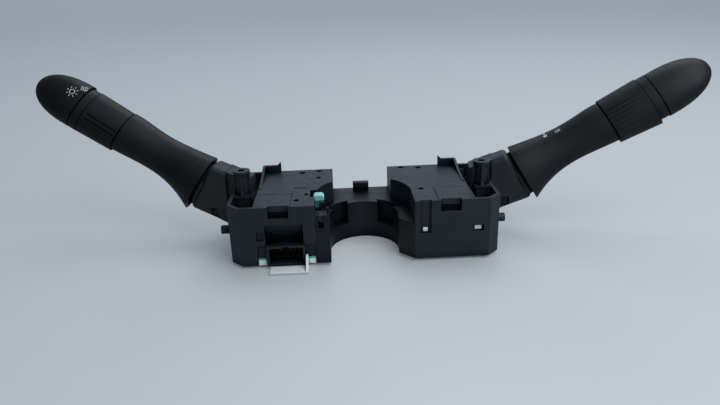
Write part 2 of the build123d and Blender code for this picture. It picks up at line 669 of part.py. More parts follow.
def cancel_spring():
    """Leaf between the pawl and the top plate's pin."""
    with BuildPart() as leaf:
        block(-46.0, -39.05, 0.3, 0.8, 32.4, 35.6)
        block(-46.0, -45.5, 0.3, 6.0, 32.4, ROOF)
    return leaf


# ------------------------------------------------------------ handles, rings, collars and knobs
def handle(side):
    with BuildPart() as body:
        loft([oval(side, *section) for section in HANDLE_SECTIONS])
        hollow = [
            oval(side, along, half_long - SKIN, shift, half_short - SKIN, lean)
            for along, half_long, shift, half_short, lean in HANDLE_SECTIONS[:-1]
        ]
        loft(hollow, mode=Mode.SUBTRACT)
        stalk_disc(side, TUBE_R, 40, RING_START, Mode.SUBTRACT)
    return body


def inner_tube(side):
    with BuildPart() as tube:
        stalk_disc(side, TUBE_R, 2, KNOB_START - GAP)
        stalk_disc(side, TUBE_BORE, 2, KNOB_START - GAP, Mode.SUBTRACT)
    return tube


def turning_ring(side):
    """Oval ring, ribbed on the wiper stalk and grooved on the lighting stalk, on both broad faces."""
    (half_long, shift), end = RING_ENDS[side]
    with BuildPart() as ring:
        loft([
            oval(side, RING_START, half_long, shift, half_long * FLATNESS),
            oval(side, COLLAR_START - GAP, end[0], end[1], end[0] * FLATNESS),
        ])
        places, mode = (GRIP_RIBS, Mode.ADD) if side == RIGHT else (GRIP_GROOVES, Mode.SUBTRACT)
        for x in places:
            surface = FLATNESS * sqrt(half_long**2 - (x - shift) ** 2)
            for y in (-surface, surface):
                block(x - 0.45, x + 0.45, y - 0.75, y + 0.75, RING_START + 1.5, COLLAR_START - 3,
                      mode, section_plane(side))
        stalk_disc(side, TUBE_R + RUNNING, RING_START, COLLAR_START, Mode.SUBTRACT)
    return ring


def collar(side):
    half_long, shift = COLLAR[side]
    with BuildPart() as band:
        loft([
            oval(side, along, half_long, shift, half_long * FLATNESS)
            for along in (COLLAR_START, KNOB_START - GAP)
        ])
        stalk_disc(side, TUBE_R, COLLAR_START, KNOB_START, Mode.SUBTRACT)
    return band


def knob(side):
    """End knob: the oval closes in a slanted, rounded tip."""
    half_long, shift, slant = KNOB[side]
    length = TIP[side] - KNOB_START
    sections = []
    for part in KNOB_STATIONS:
        size = half_long * sqrt(1 - part**KNOB_BLUNTNESS)
        sections.append(
            oval(side, KNOB_START + part * length, size, shift + slant * part, size * FLATNESS)
        )
    with BuildPart() as cap:
        loft(sections)
        if side == RIGHT:
            # flat finger rest on the lower front
            rest = section_plane(side, KNOB_START).rotated((0, 0, REST_TURN))
            block(REST_DEPTH, 30, -20, 20, -5, 40, Mode.SUBTRACT, rest.rotated((0, -REST_TILT, 0)))
        stalk_disc(side, SHAFT_R, KNOB_START, 112, Mode.SUBTRACT)
    return cap


def knob_shaft(side):
    with BuildPart() as shaft:
        stalk_disc(side, SHAFT_R, -12, 112)
    return shaft


# ------------------------------------------------------------ write every piece
save(column_bracket(), "column_bracket")
save(lighting_housing(), "lighting_housing")
save(wiper_housing(), "wiper_housing")
save(lighting_base(), "lighting_base")
save(wiper_base(), "wiper_base")
save(lighting_board(), "lighting_board")
save(wiper_board(), "wiper_board")
save(lighting_connector(), "lighting_connector")
save(wiper_connector(), "wiper_connector")
save(connector_pins(LEFT), "lighting_connector_pins")
save(connector_pins(RIGHT), "wiper_connector_pins")
save(housing_screws(), "housing_screws")
save(cancel_pawl(), "cancel_pawl")
save(cancel_spring(), "cancel_spring")
save(detent_cam(LEFT, (0, 18, (-10, 0, 10))), "turn_detent_cam")
save(detent_cam(RIGHT, (-2.5, 19, (-6, 0, 6, 12, 18))), "wiper_detent_cam")

NAMES = {
    LEFT: ("turn", "lighting", "fog_ring", "headlamp_knob"),
    RIGHT: ("wiper", "wiper", "interval_ring", "rear_wiper_knob"),
}
for side in (LEFT, RIGHT):
    function, lever, ring_name, knob_name = NAMES[side]
    save(rotor(side), f"{function}_rotor")
    save(dip_pin(side), f"{lever}_dip_pin")
    save(lever_arm(side), f"{lever}_lever_arm")
    save(plunger(side), f"{lever}_detent_plunger")
    save(plunger_spring(side), f"{lever}_plunger_spring")
    save(contact_slider(side), f"{function}_contact_slider")
    save(handle(side), f"{lever}_handle")
    save(inner_tube(side), f"{lever}_inner_tube")
    save(turning_ring(side), ring_name)
    save(collar(side), f"{lever}_collar")
    save(knob(side), knob_name)
    save(knob_shaft(side), f"{knob_name}_shaft")
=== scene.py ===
# %% [markdown]
# # Combination stalk switch
# A steering column carries this switch behind the wheel. A C-shaped bracket clamps the column, and
# two moulded units slide onto it: the lighting unit on the left and the wiper unit on the right.
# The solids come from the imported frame, already in place and at their real size. This file gives
# them their finish, models the screw heads, the plunger springs and the printed symbols, and
# lights the part.

# %% Load the frame
import json
import math

import bmesh
import bpy
from mathutils import Matrix, Vector
from mathutils.bvhtree import BVHTree

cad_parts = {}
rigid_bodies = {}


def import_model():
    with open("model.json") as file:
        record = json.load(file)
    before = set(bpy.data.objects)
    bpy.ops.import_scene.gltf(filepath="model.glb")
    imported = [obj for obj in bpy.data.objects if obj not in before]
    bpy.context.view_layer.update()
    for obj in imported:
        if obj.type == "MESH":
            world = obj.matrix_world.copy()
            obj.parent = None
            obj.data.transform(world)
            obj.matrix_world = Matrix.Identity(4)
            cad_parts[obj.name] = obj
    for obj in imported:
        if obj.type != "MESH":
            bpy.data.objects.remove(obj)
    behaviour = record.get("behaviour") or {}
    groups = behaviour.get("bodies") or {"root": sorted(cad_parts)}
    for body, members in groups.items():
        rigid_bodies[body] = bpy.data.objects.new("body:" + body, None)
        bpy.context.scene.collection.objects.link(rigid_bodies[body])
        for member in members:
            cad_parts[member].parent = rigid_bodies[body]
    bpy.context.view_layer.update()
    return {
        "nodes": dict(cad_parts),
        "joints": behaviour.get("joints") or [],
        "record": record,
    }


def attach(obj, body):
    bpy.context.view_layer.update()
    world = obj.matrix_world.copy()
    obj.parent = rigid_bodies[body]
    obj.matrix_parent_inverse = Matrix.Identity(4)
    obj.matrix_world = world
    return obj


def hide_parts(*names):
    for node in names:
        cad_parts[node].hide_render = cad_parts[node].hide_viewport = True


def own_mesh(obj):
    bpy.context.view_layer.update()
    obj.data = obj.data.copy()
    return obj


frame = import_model()
nodes = frame["nodes"]
MM = 0.001


def joint_named(name):
    return next(joint for joint in frame["joints"] if joint["name"] == name)


def add_object(name, data):
    """A new object in the scene that holds the given mesh, camera or lamp."""
    item = bpy.data.objects.new(name, data)
    bpy.context.scene.collection.objects.link(item)
    return item


# %% [markdown]
# ## Camera
# The part lies on its back and is seen from the front, a little from above. A camera is placed by
# where it stands and by three angles: how far it looks down, how far it is turned to the side and
# how far it is rolled. Its lens is worked out from a focal length in picture widths.

# %% Camera
CAMERA_PLACE = Vector((-13.1, -353.0, 168.8)) * MM
# Down, to the side and rolled, in degrees.
CAMERA_ANGLES = [math.radians(angle) for angle in (21.04, 1.78, 1.91)]
FOCAL_IN_WIDTHS = 600.7 / 720
SENSOR_MM = 36.0
CLIP_START = 0.01


def camera_axes(down, turn, roll):
    """Right, up and back axes of a camera that looks along +Y before it is turned."""
    forward = Vector((math.sin(turn) * math.cos(down), math.cos(turn) * math.cos(down),
                      -math.sin(down)))
    right = Vector((math.cos(turn), -math.sin(turn), 0))
    below = forward.cross(right)
    rolled_right = math.cos(roll) * right + math.sin(roll) * below
    rolled_below = -math.sin(roll) * right + math.cos(roll) * below
    return rolled_right, -rolled_below, -forward


def place_camera():
    data = bpy.data.cameras.new("camera")
    data.sensor_width = SENSOR_MM
    data.lens = FOCAL_IN_WIDTHS * SENSOR_MM
    data.clip_start = CLIP_START
    camera = add_object("camera", data)
    axes = Matrix(camera_axes(*CAMERA_ANGLES)).transposed().to_4x4()
    camera.matrix_world = Matrix.Translation(CAMERA_PLACE) @ axes
    bpy.context.scene.camera = camera
    return camera


print("lens in mm:", round(place_camera().data.lens, 2))

# %% [markdown]
# ## Node helpers
# A material is a tree of nodes. The same few nodes come back in all of them: one that stretches a
# range of numbers, one that mixes two colours, and one that does arithmetic. Each gets a short
# function that takes either a fixed value or the output of another node.

# %% Node helpers
def feed(tree, value, target):
    """Links a node's output to an input, or writes a plain value into it."""
    if isinstance(value, bpy.types.NodeSocket):
        tree.links.new(value, target)
    else:
        target.default_value = value


def remap(tree, value, old, new):
    """Stretches one range of numbers onto another and stops at its ends."""
    node = tree.nodes.new("ShaderNodeMapRange")
    for name, number in zip(("From Min", "From Max", "To Min", "To Max"), (*old, *new)):
        node.inputs[name].default_value = number
    tree.links.new(value, node.inputs["Value"])
    return node.outputs["Result"]


def mixed(tree, factor, first, second):
    """Mixes two colours."""
    node = tree.nodes.new("ShaderNodeMix")
    node.data_type = "RGBA"
    for value, name in ((factor, "Factor"), (first, "A"), (second, "B")):
        feed(tree, value, node.inputs[name])
    return node.outputs["Result"]


def arithmetic(tree, kind, operation, *values):
    """A Math node or, for kind VectorMath, a Vector Math node. Only SUBTRACT gives a vector."""
    node = tree.nodes.new("ShaderNode" + kind)
    node.operation = operation
    for value, target in zip(values, node.inputs):
        feed(tree, value, target)
    return node.outputs["Vector" if operation == "SUBTRACT" else "Value"]


def new_material(name, settings):
    """A material, its tree and its shader, with some of the shader's inputs set by name."""
    material = bpy.data.materials.new(name)
    material.use_nodes = True
    tree = material.node_tree
    shader = tree.nodes["Principled BSDF"]
    for socket_name, value in settings.items():
        shader.inputs[socket_name].default_value = value
    return material, tree, shader


# %% [markdown]
# ## Floor and light
# A pale lacquered table carries the part. The room is a dim sphere of light with two soft bright
# patches: a wide one behind, which the top faces mirror as a sheen, and a smaller one low at the
# front on the right. Black plastic shows little but what it mirrors, so the rest of the room stays
# dim. A window lamp stands high behind and a smaller lamp at the right front. What the camera
# itself sees of the room is a plain pale colour.

# %% The table
TABLE_SIZE = 40.0
TABLE_LOOK = {
    "Base Color": (0.43, 0.45, 0.46, 1),
    "Roughness": 0.34,
    "Specular IOR Level": 0.4,
    "Emission Color": (0.66, 0.71, 0.77, 1),
}
TABLE_LIFT = 0.13


def table_material():
    """A lacquered top. A little paleness is added only where the camera looks at it directly."""
    material, tree, shader = new_material("table_top", TABLE_LOOK)
    camera_ray = tree.nodes.new("ShaderNodeLightPath").outputs["Is Camera Ray"]
    lift = remap(tree, camera_ray, (0, 1), (0, TABLE_LIFT))
    tree.links.new(lift, shader.inputs["Emission Strength"])
    return material


def make_table():
    mesh = bpy.data.meshes.new("table")
    half = TABLE_SIZE / 2
    corners = [(-half, -half, 0), (half, -half, 0), (half, half, 0), (-half, half, 0)]
    mesh.from_pydata(corners, [], [(0, 1, 2, 3)])
    mesh.materials.append(table_material())
    table = add_object("table", mesh)


make_table()
print("table in metres:", TABLE_SIZE)

# %% The room
ROOM_DIM = (0.10, 0.12, 0.14, 1)
BACKDROP = (0.62, 0.68, 0.77, 1)
# Each patch: its direction, the angles where it fades out and where it is full, and its colour.
PATCHES = (
    ((0.05, 0.95, 0.25), 70, 25, (0.50, 0.58, 0.68, 1)),
    ((0.50, -0.85, 0.05), 50, 15, (0.50, 0.60, 0.72, 1)),
)


def patch_mask(tree, direction, towards, outer_deg, inner_deg):
    """1 inside a cone around a direction, fading to 0 at its outer edge."""
    near = arithmetic(tree, "VectorMath", "DOT_PRODUCT", direction, Vector(towards).normalized())
    edges = [math.cos(math.radians(angle)) for angle in (outer_deg, inner_deg)]
    return remap(tree, near, edges, (0, 1))


def light_room():
    """A dim room with soft bright patches, and a plain backdrop for what the camera sees."""
    world = bpy.data.worlds.new("room")
    bpy.context.scene.world = world
    world.use_nodes = True
    tree = world.node_tree
    direction = tree.nodes.new("ShaderNodeTexCoord").outputs["Generated"]
    light = ROOM_DIM
    for towards, outer, inner, colour in PATCHES:
        light = mixed(tree, patch_mask(tree, direction, towards, outer, inner), light, colour)
    camera_ray = tree.nodes.new("ShaderNodeLightPath").outputs["Is Camera Ray"]
    light = mixed(tree, camera_ray, light, BACKDROP)
    tree.links.new(light, tree.nodes["Background"].inputs["Color"])
    bpy.context.scene.view_settings.view_transform = "Standard"


light_room()
print("bright patches:", len(PATCHES))

# %% The lamps
# Each lamp: its name, place, target, size, power in watts and colour.
LAMPS = (
    ("window", (0.40, 0.5, 1.4), (0, 0, 0.03), (1.4, 1.0), 11, (0.95, 0.97, 1.0)),
    ("right_front", (0.34, -0.42, 0.64), (0.09, 0, 0.05), (0.75, 0.75), 4.6, (0.90, 0.95, 1.0)),
)


def area_lamp(name, place, target, size, power, colour):
    data = bpy.data.lights.new(name, "AREA")
    data.shape = "RECTANGLE"
    data.size, data.size_y = size
    data.energy = power
    data.color = colour
    lamp = add_object(name, data)
    aim = (Vector(target) - Vector(place)).to_track_quat("-Z", "Y")
    lamp.matrix_world = Matrix.Translation(place) @ aim.to_matrix().to_4x4()
    lamp.visible_camera = False


for lamp_values in LAMPS:
    area_lamp(*lamp_values)

# %% [markdown]
# ## The two stalks
# Each stalk rises from its unit and leans outwards. Its knob turns about the stalk's own axis, so
# the joint of the knob gives the root and the axis. The other two directions follow from the axis:
# one along the tall side of the oval section and one out of its broad front side.

# %% The stalk's own directions
# How steeply a stalk rises, and how far its oval section is rolled about its axis.
RISE = math.radians(31.9)
LEAN = math.radians(36.0)


def stalk_axes(joint_name, side):
    """Root, axis, long direction and front direction of a stalk, from its turning joint.

    The side is -1 for the left stalk and 1 for the right one.
    """
    joint = joint_named(joint_name)
    axis = Vector(joint["axis"]).normalized()
    if axis.z < 0:
        axis = -axis
    ground = Vector((axis.x, axis.y, 0)).normalized()
    front = ground.cross(Vector((0, 0, 1))) * side
    up = front.cross(ground) * side
    rising = up * math.cos(RISE) - ground * math.sin(RISE)
    long_way = rising * math.cos(LEAN) - front * math.sin(LEAN)
    return Vector(joint["pos_m"]), axis, long_way, axis.cross(long_way) * side


LEFT_STALK = stalk_axes("headlamp_knob_turn", -1)
RIGHT_STALK = stalk_axes("rear_wiper_knob_turn", 1)
for side, stalk in (("left", LEFT_STALK), ("right", RIGHT_STALK)):
    print(side, "axis:", [round(value, 3) for value in stalk[1]])

# %% [markdown]
# ## Materials
# Every plastic here is moulded, so its colour runs through it and its surface copies the mould.
# A mould has a fine grain, and shrinkage leaves the face a little uneven. Handling leaves faint
# dull and bright patches. All of them come from noise on the piece's own coordinates, so the
# pattern stays with the piece when it moves.

# %% Patterns for the materials
RAMP_START, RAMP_END = 0.35, 0.65
SMOOTH, PATCHY, FINE = 2.0, 3.0, 4.0


def own_coordinates(tree):
    return tree.nodes.new("ShaderNodeTexCoord").outputs["Object"]


def noise(tree, coordinates, size_mm, detail=SMOOTH):
    """Noise whose lumps are about the given size. Detail adds finer noise to it."""
    node = tree.nodes.new("ShaderNodeTexNoise")
    node.inputs["Scale"].default_value = 1 / (size_mm * MM)
    node.inputs["Detail"].default_value = detail
    tree.links.new(coordinates, node.inputs["Vector"])
    return node.outputs["Fac"]


def ramp(tree, value, low, high):
    """Turns a noise value into a colour or a grey between two ends."""
    node = tree.nodes.new("ShaderNodeValToRGB")
    places, colours = (RAMP_START, RAMP_END), (low, high)
    for element, place, colour in zip(node.color_ramp.elements, places, colours):
        element.position, element.color = place, colour
    tree.links.new(value, node.inputs["Fac"])
    return node.outputs["Color"]


def grey(value):
    return (value, value, value, 1)


def bump(tree, height, depth_mm, normal=None):
    """Small relief of the given depth, on top of an earlier one if there is one."""
    node = tree.nodes.new("ShaderNodeBump")
    node.inputs["Distance"].default_value = depth_mm * MM
    tree.links.new(height, node.inputs["Height"])
    if normal:
        tree.links.new(normal, node.inputs["Normal"])
    return node.outputs["Normal"]


# %% [markdown]
# ## Edges and seams
# The Bevel node averages the normals near an edge, which softens it as a mould does. Where the
# softened normal leaves the real one there is an edge, and there a painted highlight makes the
# colour paler. The seams between a handle and its rings are narrow and deep, so no light comes out
# of them; a mask finds them by how far along the stalk a point lies and paints shade on them. The
# pawl is darker in a band at one height, found in the same way.

# %% Masks for edges and seams
EDGE_START, EDGE_END = 0.96, 0.80
# Each seam: how far along its line it lies and half its width, in millimetres.
HANDLE_SEAMS = ((61.95, 0.42), (88.05, 0.30), (94.05, 0.38))
NECK_SEAM = ((0.7, 2.4),)
# The pawl is darker in a band: its height and half its width, in millimetres.
PAWL_DARK_BAND = ((33.0, 3.2),)
UPRIGHT = (Vector((0, 0, 0)), Vector((0, 0, 1)))


def edge_mask(tree, softened):
    """1 where the softened normal turns away from the real one."""
    real = tree.nodes.new("ShaderNodeNewGeometry").outputs["True Normal"]
    turn = arithmetic(tree, "VectorMath", "DOT_PRODUCT", softened, real)
    return remap(tree, turn, (EDGE_START, EDGE_END), (0, 1))


def along_line(tree, coordinates, line):
    """Distance from the root of a line, measured along its axis, in metres."""
    root, axis = line[:2]
    away = arithmetic(tree, "VectorMath", "SUBTRACT", coordinates, root)
    return arithmetic(tree, "VectorMath", "DOT_PRODUCT", away, axis)


def seam_mask(tree, along, seams):
    """0 on each seam and 1 away from it."""
    mask = None
    for place, half_width in seams:
        near = arithmetic(tree, "Math", "COMPARE", along, place * MM, half_width * MM)
        clear = remap(tree, near, (0, 1), (1, 0))
        mask = clear if mask is None else arithmetic(tree, "Math", "MULTIPLY", mask, clear)
    return mask


# %% [markdown]
# ## Moulded plastic
# Three reliefs lie on each other: the softened edge, a slow waviness from shrinkage, and the
# spark-eroded grain of the mould. The gloss varies in patches. Near the softened edges the colour
# is made paler, a painted highlight. An Ambient Occlusion node finds narrow gaps and takes colour
# and gloss away there: painted shade where light would not reach.

# %% Moulded plastic
# Edges: how far they are softened, the samples, and the palest the painted highlight gets.
EDGE_MM, EDGE_SAMPLES, EDGE_HIGHLIGHT_PALEST = 0.4, 4, 0.95
# Painted shade in narrow gaps: the Ambient Occlusion range and samples, then how dark and how dull
# it gets.
GAP_START, GAP_END, GAP_SAMPLES = 0.35, 0.88, 6
PAINTED_SHADE_COLOUR, PAINTED_SHADE_GLOSS = 0.25, 0.12
PATCH_MM, WEAR_MM, WAVE_MM, WAVE_DEPTH_MM = 18.0, 6.0, 9.0, 0.05


def softened_edges(tree):
    node = tree.nodes.new("ShaderNodeBevel")
    node.samples = EDGE_SAMPLES
    node.inputs["Radius"].default_value = EDGE_MM * MM
    return node.outputs["Normal"]


def unshaded_places(tree, gap_mm):
    """0 deep in a gap, where shade is painted, and 1 on an open face."""
    node = tree.nodes.new("ShaderNodeAmbientOcclusion")
    node.samples = GAP_SAMPLES
    node.inputs["Distance"].default_value = gap_mm * MM
    return remap(tree, node.outputs["AO"], (GAP_START, GAP_END), (0, 1))


def moulded(name, dark, light, roughness, grain, specular=0.5, gap_mm=2.5, edge_highlight_gain=2.2,
            seams=None, line=None):
    """Plastic from two shades, two roughnesses, and its grain's size and depth in millimetres."""
    material, tree, shader = new_material(name, {"Roughness": roughness[0]})
    coordinates = own_coordinates(tree)
    edges = softened_edges(tree)
    unshaded = unshaded_places(tree, gap_mm)
    # Painted shade on the seams as well; for the pawl the same mask makes its dark band.
    if seams:
        clear = seam_mask(tree, along_line(tree, coordinates, line), seams)
        unshaded = arithmetic(tree, "Math", "MULTIPLY", unshaded, clear)
    patches = ramp(tree, noise(tree, coordinates, PATCH_MM, PATCHY), (*dark, 1), (*light, 1))
    # Painted highlight: near each edge the colour is mixed towards a paler one.
    pale = [min(EDGE_HIGHLIGHT_PALEST, edge_highlight_gain * part) for part in light]
    with_edge_highlight = mixed(tree, edge_mask(tree, edges), patches, (*pale, 1))
    # Painted shade: gaps and seams are darkened and lose most of their gloss.
    shaded = [PAINTED_SHADE_COLOUR * part for part in dark]
    tree.links.new(mixed(tree, unshaded, (*shaded, 1), with_edge_highlight), shader.inputs["Base Color"])
    gloss = remap(tree, unshaded, (0, 1), (PAINTED_SHADE_GLOSS * specular, specular))
    tree.links.new(gloss, shader.inputs["Specular IOR Level"])
    wear = noise(tree, coordinates, WEAR_MM, FINE)
    worn = ramp(tree, wear, grey(roughness[0]), grey(roughness[1]))
    tree.links.new(worn, shader.inputs["Roughness"])
    waves = bump(tree, noise(tree, coordinates, WAVE_MM), WAVE_DEPTH_MM, edges)
    relief = bump(tree, noise(tree, coordinates, grain[0]), grain[1], waves)
    tree.links.new(relief, shader.inputs["Normal"])
    return material


# %% [markdown]
# ## Metal
# Pins, springs and shafts are drawn or turned, which leaves fine streaks. Two noises do it: a
# coarse one for the tint and a fine one for the gloss and the relief.

# %% Metal
METAL_SHADE, METAL_DULLER, STREAK_DEPTH_MM = 0.82, 0.15, 0.01
TINT_LUMPS = 6


def metal(name, colour, roughness, grain_mm):
    material, tree, shader = new_material(name, {"Roughness": roughness, "Metallic": 1.0})
    coordinates = own_coordinates(tree)
    shade = [METAL_SHADE * part for part in colour]
    lumps = noise(tree, coordinates, grain_mm * TINT_LUMPS)
    tree.links.new(ramp(tree, lumps, (*shade, 1), (*colour, 1)), shader.inputs["Base Color"])
    streaks = noise(tree, coordinates, grain_mm, FINE)
    gloss = ramp(tree, streaks, grey(roughness), grey(roughness + METAL_DULLER))
    tree.links.new(gloss, shader.inputs["Roughness"])
    tree.links.new(bump(tree, streaks, STREAK_DEPTH_MM), shader.inputs["Normal"])
    return material


# %% [markdown]
# ## The finishes
# The housings, the bracket, the lever arms and the handles are four different blacks, and the
# bracket's black is set darker still as painted shade for its bore wall. The contact bases are
# white, the boards green and the cancelling pawl teal. A handle or a lever arm has its seams at
# places along its own stalk, so each side gets its own copy of those two finishes.

# %% The finishes
PLASTICS = {
    "housing_plastic": dict(
        dark=(0.0074, 0.0125, 0.0180), light=(0.0105, 0.0165, 0.0225),
        roughness=(0.42, 0.52), grain=(0.35, 0.010), specular=0.32, gap_mm=9.0),
    # The bracket's black is set darker than the housing's: painted shade for its bore wall.
    "bracket_plastic": dict(
        dark=(0.0018, 0.0042, 0.0070), light=(0.0034, 0.0062, 0.0100),
        roughness=(0.38, 0.48), grain=(0.5, 0.010), specular=0.30, gap_mm=9.0),
    "base_plastic": dict(
        dark=(0.76, 0.83, 0.81), light=(0.82, 0.88, 0.86),
        roughness=(0.38, 0.48), grain=(0.7, 0.008)),
    "board_green": dict(
        dark=(0.03, 0.33, 0.21), light=(0.06, 0.45, 0.30),
        roughness=(0.30, 0.40), grain=(0.6, 0.005)),
    "pawl_teal": dict(
        dark=(0.20, 0.52, 0.48), light=(0.30, 0.64, 0.60),
        roughness=(0.32, 0.42), grain=(0.8, 0.006), seams=PAWL_DARK_BAND, line=UPRIGHT),
    "rotor_plastic": dict(
        dark=(0.60, 0.61, 0.56), light=(0.70, 0.70, 0.66),
        roughness=(0.35, 0.45), grain=(0.8, 0.006)),
}
STALK_PLASTICS = {
    "handle_plastic": dict(
        dark=(0.0026, 0.0038, 0.0048), light=(0.0042, 0.0056, 0.0068),
        roughness=(0.42, 0.50), grain=(0.45, 0.030), specular=0.26, gap_mm=4.0,
        edge_highlight_gain=4.5, seams=HANDLE_SEAMS),
    "lever_plastic": dict(
        dark=(0.0095, 0.0130, 0.0155), light=(0.0130, 0.0170, 0.0200),
        roughness=(0.42, 0.52), grain=(0.6, 0.012), specular=0.35, gap_mm=5.0,
        seams=NECK_SEAM),
}
METALS = {
    # The pins' metal is far darker than real pin metal: painted shade for the pins deep in their
    # socket.
    "pin_metal": ((0.055, 0.052, 0.045), 0.42, 0.2),
    "steel": ((0.50, 0.50, 0.50), 0.30, 0.3),
    "screw_metal": ((0.56, 0.56, 0.53), 0.32, 0.3),
}

FINISHES = {name: moulded(name, **look) for name, look in PLASTICS.items()}
FINISHES.update({name: metal(name, *look) for name, look in METALS.items()})
for side, stalk in (("left_", LEFT_STALK), ("right_", RIGHT_STALK)):
    for name, look in STALK_PLASTICS.items():
        FINISHES[side + name] = moulded(side + name, **look, line=stalk)
print("finishes:", len(FINISHES))

# %% Give each solid its finish
slots = {part["node"]: part["material_slot"] for part in frame["record"]["subparts"]}
LEFT_NAMES = ("lighting", "fog", "headlamp")


def finish_of(name):
    """A piece of a stalk takes the finish of its own side."""
    side = "left_" if name.startswith(LEFT_NAMES) else "right_"
    return FINISHES.get(side + slots[name]) or FINISHES[slots[name]]


for name, piece in nodes.items():
    piece.data.materials.clear()
    piece.data.materials.append(finish_of(name))
print("dressed nodes:", len(nodes))

# %% [markdown]
# ## Screw heads
# Eight thread-forming screws hold the two bases. Each has a round head with a six-lobed recess.
# They are all alike, so one head is modelled with bmesh, and Geometry Nodes put a copy on each
# point of a small mesh whose points are the feet of the solid screws.

# %% Where the screws are
WELD = 1e-6


def loose_parts(piece):
    """The separate solids of one node, each as a list of its corners."""
    mesh = bmesh.new()
    mesh.from_mesh(piece.data)
    bmesh.ops.remove_doubles(mesh, verts=mesh.verts, dist=WELD)
    seen, parts = set(), []
    for start in mesh.verts:
        if start in seen:
            continue
        heap, part = [start], []
        seen.add(start)
        while heap:
            corner = heap.pop()
            part.append(corner.co.copy())
            for edge in corner.link_edges:
                other = edge.other_vert(corner)
                if other not in seen:
                    seen.add(other)
                    heap.append(other)
        parts.append(part)
    mesh.free()
    return parts


def middle_and_span(points):
    """The middle of some points, the size of their box and its lowest corner."""
    low = Vector(map(min, zip(*points)))
    high = Vector(map(max, zip(*points)))
    return (low + high) / 2, high - low, low


screws = [middle_and_span(part) for part in loose_parts(nodes["housing_screws"])]
SCREW_SPAN = screws[0][1]
print("screws:", len(screws), "length in mm:", round(SCREW_SPAN.z / MM, 1))

# %% One screw
HEAD_R, HEAD_HEIGHT = SCREW_SPAN.x / 2, 1.4 * MM
SHANK_R, RECESS_R, RECESS_DEPTH = 0.48 * HEAD_R, 0.5 * HEAD_R, 1.0 * MM
CROWN = 0.35 * HEAD_HEIGHT
RECESS_LIP, CROWN_LIP, POINT = 0.12 * MM, 0.04 * MM, 0.6 * MM
LOBES, LOBE_DEPTH, LOBE_AT_LIP, ROUND = 6, 0.16, 0.14, 36


def screw_profile(length):
    """Radius, height and lobe of each ring, from the foot of the recess to the point."""
    return (
        (RECESS_R * 0.92, RECESS_DEPTH, LOBE_DEPTH),
        (RECESS_R, RECESS_LIP, LOBE_DEPTH),
        (RECESS_R * 1.12, 0, LOBE_AT_LIP),
        (0.80 * HEAD_R, CROWN_LIP, 0),
        (0.95 * HEAD_R, CROWN / 2, 0),
        (0.99 * HEAD_R, CROWN, 0),
        (0.99 * HEAD_R, HEAD_HEIGHT, 0),
        (SHANK_R, HEAD_HEIGHT, 0),
        (SHANK_R, length - POINT, 0),
        (0.7 * SHANK_R, length, 0),
    )


def ring_of(mesh, radius, height, lobe):
    """A closed ring of corners, with six lobes if the lobe isn't 0."""
    corners = []
    for step in range(ROUND):
        angle = 2 * math.pi * step / ROUND
        reach = radius * (1 + lobe * math.cos(LOBES * angle))
        corners.append(mesh.verts.new((reach * math.cos(angle), reach * math.sin(angle), height)))
    return corners


def join_rings(mesh, first, second):
    for step in range(ROUND):
        after = (step + 1) % ROUND
        mesh.faces.new((first[step], first[after], second[after], second[step]))


def mesh_from(mesh, name):
    """Turns the faces outwards and ends the bmesh as an ordinary mesh."""
    bmesh.ops.recalc_face_normals(mesh, faces=mesh.faces)
    data = bpy.data.meshes.new(name)
    mesh.to_mesh(data)
    mesh.free()
    return data


def screw_mesh(length):
    """Head below, shank above: the screw goes in from underneath."""
    mesh = bmesh.new()
    rings = [ring_of(mesh, *row) for row in screw_profile(length)]
    for first, second in zip(rings, rings[1:]):
        join_rings(mesh, first, second)
    mesh.faces.new(rings[0])
    mesh.faces.new(rings[-1])
    return mesh_from(mesh, "screw")


# %% Helpers for a tree of Geometry Nodes
def new_tree(name, inputs):
    """A tree with named inputs. Gives the tree, its input node and the inputs' identifiers."""
    tree = bpy.data.node_groups.new(name, "GeometryNodeTree")
    identifiers = {}
    for key, kind in inputs.items():
        item = tree.interface.new_socket(key, in_out="INPUT", socket_type="NodeSocket" + kind)
        identifiers[key] = item.identifier
    tree.interface.new_socket("Geometry", in_out="OUTPUT", socket_type="NodeSocketGeometry")
    return tree, tree.nodes.new("NodeGroupInput"), identifiers


def end_tree(tree, group_in, geometry):
    """Makes copies real, gives everything one material and sends it out."""
    real = tree.nodes.new("GeometryNodeRealizeInstances")
    paint = tree.nodes.new("GeometryNodeSetMaterial")
    group_out = tree.nodes.new("NodeGroupOutput")
    tree.links.new(geometry, real.inputs["Geometry"])
    tree.links.new(real.outputs["Geometry"], paint.inputs["Geometry"])
    tree.links.new(group_in.outputs["Finish"], paint.inputs["Material"])
    tree.links.new(paint.outputs["Geometry"], group_out.inputs["Geometry"])


def run_tree(name, start_mesh, tree, identifiers, values):
    """Runs a tree on a mesh and keeps the result as an ordinary object."""
    carrier = add_object(name + "_start", start_mesh)
    modifier = carrier.modifiers.new("shape", "NODES")
    modifier.node_group = tree
    for key, value in values.items():
        modifier[identifiers[key]] = value
    evaluated = carrier.evaluated_get(bpy.context.evaluated_depsgraph_get())
    data = bpy.data.meshes.new_from_object(evaluated)
    data.name = name
    bpy.data.objects.remove(carrier)
    return add_object(name, data)


# %% Put a screw on every foot
COPY_INPUTS = {"Points": "Geometry", "Copied piece": "Object", "Size": "Float",
               "Finish": "Material"}


